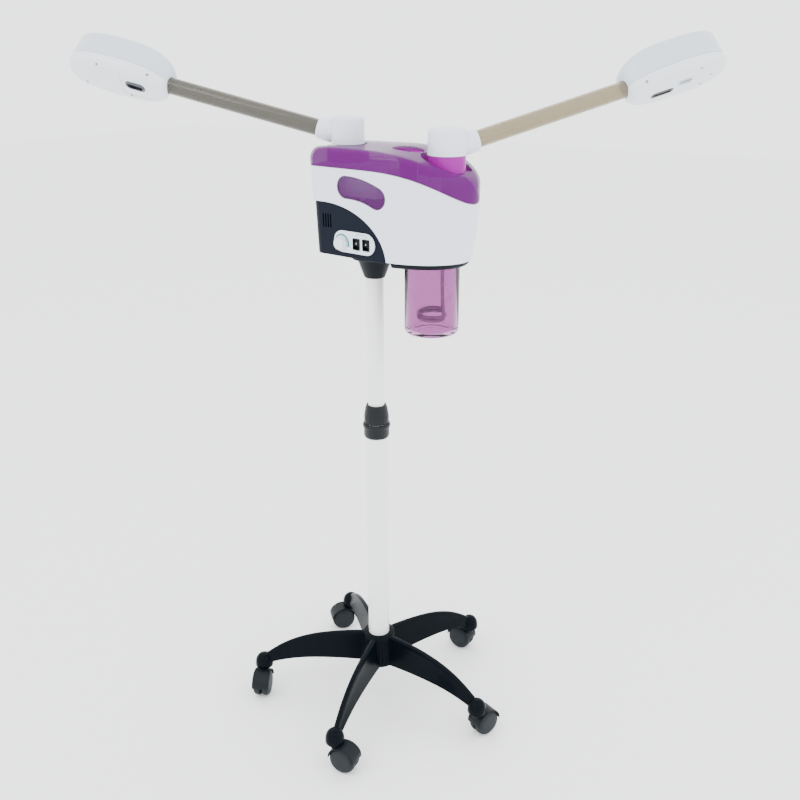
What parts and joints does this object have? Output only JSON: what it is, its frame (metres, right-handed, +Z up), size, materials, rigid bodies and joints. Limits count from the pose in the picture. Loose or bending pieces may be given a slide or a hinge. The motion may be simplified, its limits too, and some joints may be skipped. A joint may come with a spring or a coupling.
{
  "type": "facial steamer",
  "caption": "Salon facial steamer on a wheeled star stand: telescopic column, casing with a clear cover and hanging glass jar, and swinging tubes that carry slotted steam heads.",
  "frame": {"origin": "middle of the whole object's footprint, on the floor under the wheels", "axes": "+Z up, +X from the column towards the casing's rounded nose and the jar, -Y towards the side with the control panel"},
  "size_m": [0.9184, 0.5688, 1.1743],
  "materials": {
    "base_black": "glossy moulding",
    "caster_black": "satin moulding",
    "wheel_grey": "matt moulding",
    "steel": "plain turned steel",
    "column_white": "gloss white paint",
    "collar_black": "satin moulding",
    "shell_white": "gloss moulding",
    "housing_navy": "satin moulding",
    "cover_purple": "clear tinted moulding",
    "plate_blue": "printed plate",
    "jar_glass": "clear, slightly pink",
    "tube_smoke": "clear smoked tube",
    "chrome": "polished",
    "seal_rubber": "matt",
    "board_green": "circuit board"
  },
  "bodies": {
    "base": {"star_base": "base_black", "hub_bolt": "steel", "lower_column_tube": "column_white", "column_bush": "collar_black", "collar_sleeve": "collar_black"},
    "collar": {"collar_ring": "collar_black"},
    "mast": {"upper_column_tube": "column_white"},
    "casing": {"casing_tray": "collar_black", "white_shell": "shell_white", "lower_housing": "housing_navy", "top_cover": "cover_purple", "level_window": "cover_purple", "panel_plate": "plate_blue", "switch_body_1": "collar_black", "switch_body_2": "collar_black", "mains_inlet": "collar_black", "cold_mist_tank": "shell_white", "mist_atomiser": "chrome", "transformer": "steel", "circuit_board": "board_green", "boiler_head": "shell_white", "jar_gasket": "seal_rubber", "heater_coil": "chrome"},
    "jar": {"glass_jar": "jar_glass"},
    "fill_cap": {"fill_cap": "cover_purple"},
    "knob": {"steam_knob": "shell_white"},
    "left_arm": {"left_elbow": "shell_white", "left_arm_tube": "tube_smoke"},
    "left_head": {"left_head_shell": "shell_white", "left_head_cover": "shell_white", "left_nozzle_1": "chrome"},
    "right_arm": {"right_elbow": "shell_white", "right_arm_tube": "tube_smoke"},
    "right_head": {"right_head_shell": "shell_white", "right_head_cover": "shell_white", "right_nozzle_1": "chrome", "right_nozzle_2": "chrome"},
    "switch_rocker_1": {"rocker_1": "collar_black"},
    "switch_rocker_2": {"rocker_2": "collar_black"},
    "caster_1": {"caster_hood_1": "caster_black", "caster_axle_1": "steel"},
    "wheel_1a": {"caster_wheel_1a": "wheel_grey"},
    "wheel_1b": {"caster_wheel_1b": "wheel_grey"},
    "caster_2": {"caster_hood_2": "caster_black", "caster_axle_2": "steel"},
    "wheel_2a": {"caster_wheel_2a": "wheel_grey"},
    "wheel_2b": {"caster_wheel_2b": "wheel_grey"},
    "caster_3": {"caster_hood_3": "caster_black", "caster_axle_3": "steel"},
    "wheel_3a": {"caster_wheel_3a": "wheel_grey"},
    "wheel_3b": {"caster_wheel_3b": "wheel_grey"},
    "caster_4": {"caster_hood_4": "caster_black", "caster_axle_4": "steel"},
    "wheel_4a": {"caster_wheel_4a": "wheel_grey"},
    "wheel_4b": {"caster_wheel_4b": "wheel_grey"},
    "caster_5": {"caster_hood_5": "caster_black", "caster_axle_5": "steel"},
    "wheel_5a": {"caster_wheel_5a": "wheel_grey"},
    "wheel_5b": {"caster_wheel_5b": "wheel_grey"}
  },
  "joints": [
    {"name": "caster_1_swivel", "type": "hinge", "parent": "base", "child": "caster_1", "pos_m": [0.10462, 0.14672, 0.06], "axis": [0, 0, 1], "continuous": true},
    {"name": "caster_2_swivel", "type": "hinge", "parent": "base", "child": "caster_2", "pos_m": [-0.14683, 0.09144, 0.06], "axis": [0, 0, 1], "continuous": true},
    {"name": "caster_3_swivel", "type": "hinge", "parent": "base", "child": "caster_3", "pos_m": [-0.17195, -0.16478, 0.06], "axis": [0, 0, 1], "continuous": true},
    {"name": "caster_4_swivel", "type": "hinge", "parent": "base", "child": "caster_4", "pos_m": [0.06397, -0.26785, 0.06], "axis": [0, 0, 1], "continuous": true},
    {"name": "caster_5_swivel", "type": "hinge", "parent": "base", "child": "caster_5", "pos_m": [0.2349, -0.07533, 0.06], "axis": [0, 0, 1], "continuous": true},
    {"name": "wheel_1a_roll", "type": "hinge", "parent": "caster_1", "child": "wheel_1a", "pos_m": [0.08668, 0.14823, 0.0235], "axis": [-0.0837, -0.9965, 0], "continuous": true},
    {"name": "wheel_1b_roll", "type": "hinge", "parent": "caster_1", "child": "wheel_1b", "pos_m": [0.08668, 0.14823, 0.0235], "axis": [-0.0837, -0.9965, 0], "continuous": true},
    {"name": "wheel_2a_roll", "type": "hinge", "parent": "caster_2", "child": "wheel_2a", "pos_m": [-0.15903, 0.07821, 0.0235], "axis": [0.7349, -0.6782, 0], "continuous": true},
    {"name": "wheel_2b_roll", "type": "hinge", "parent": "caster_2", "child": "wheel_2b", "pos_m": [-0.15903, 0.07821, 0.0235], "axis": [0.7349, -0.6782, 0], "continuous": true},
    {"name": "wheel_3a_roll", "type": "hinge", "parent": "caster_3", "child": "wheel_3a", "pos_m": [-0.16437, -0.18111, 0.0235], "axis": [0.907, 0.421, 0], "continuous": true},
    {"name": "wheel_3b_roll", "type": "hinge", "parent": "caster_3", "child": "wheel_3b", "pos_m": [-0.16437, -0.18111, 0.0235], "axis": [0.907, 0.421, 0], "continuous": true},
    {"name": "wheel_4a_roll", "type": "hinge", "parent": "caster_4", "child": "wheel_4a", "pos_m": [0.08189, -0.26619, 0.0235], "axis": [-0.0924, 0.9957, 0], "continuous": true},
    {"name": "wheel_4b_roll", "type": "hinge", "parent": "caster_4", "child": "wheel_4b", "pos_m": [0.08189, -0.26619, 0.0235], "axis": [-0.0924, 0.9957, 0], "continuous": true},
    {"name": "wheel_5a_roll", "type": "hinge", "parent": "caster_5", "child": "wheel_5a", "pos_m": [0.2412, -0.05847, 0.0235], "axis": [-0.9367, 0.3502, 0], "continuous": true},
    {"name": "wheel_5b_roll", "type": "hinge", "parent": "caster_5", "child": "wheel_5b", "pos_m": [0.2412, -0.05847, 0.0235], "axis": [-0.9367, 0.3502, 0], "continuous": true},
    {"name": "collar_twist", "type": "hinge", "parent": "base", "child": "collar", "pos_m": [0.01694, -0.05396, 0.568], "axis": [0, 0, 1], "range_deg": [0, 180]},
    {"name": "column_slide", "type": "slide", "parent": "base", "child": "mast", "axis": [0, 0, 1], "range_m": [-0.18, 0.12]},
    {"name": "casing_swivel", "type": "hinge", "parent": "mast", "child": "casing", "pos_m": [0.01694, -0.05396, 0.84], "axis": [0, 0, 1], "continuous": true},
    {"name": "jar_drop", "type": "slide", "parent": "casing", "child": "jar", "axis": [0, 0, -1], "range_m": [0, 0.15]},
    {"name": "fill_cap_lift", "type": "slide", "parent": "casing", "child": "fill_cap", "axis": [0, 0, 1], "range_m": [0, 0.02]},
    {"name": "knob_turn", "type": "hinge", "parent": "casing", "child": "knob", "pos_m": [-0.0039, -0.11238, 0.8685], "axis": [-0.1093, -0.9938, -0.0213], "range_deg": [-270, 0]},
    {"name": "switch_1_rock", "type": "hinge", "parent": "casing", "child": "switch_rocker_1", "pos_m": [0.02613, -0.11371, 0.87004], "axis": [0.994, -0.1093, 0], "range_deg": [-18, 0]},
    {"name": "switch_2_rock", "type": "hinge", "parent": "casing", "child": "switch_rocker_2", "pos_m": [0.04502, -0.11579, 0.87054], "axis": [0.994, -0.1093, 0], "range_deg": [-18, 0]},
    {"name": "left_arm_swivel", "type": "hinge", "parent": "casing", "child": "left_arm", "pos_m": [-0.03006, -0.05396, 1.023], "axis": [0, 0, 1], "range_deg": [-110, 110]},
    {"name": "left_head_turn", "type": "hinge", "parent": "left_arm", "child": "left_head", "pos_m": [-0.30759, -0.15388, 1.09654], "axis": [-0.9129, -0.3287, 0.2419], "range_deg": [-90, 90]},
    {"name": "right_arm_swivel", "type": "hinge", "parent": "casing", "child": "right_arm", "pos_m": [0.14594, -0.05396, 1.012], "axis": [0, 0, 1], "range_deg": [-110, 110]},
    {"name": "right_head_turn", "type": "hinge", "parent": "right_arm", "child": "right_head", "pos_m": [0.3415, 0.15575, 1.09314], "axis": [0.6562, 0.7037, 0.2723], "range_deg": [-90, 90]}
  ]
}
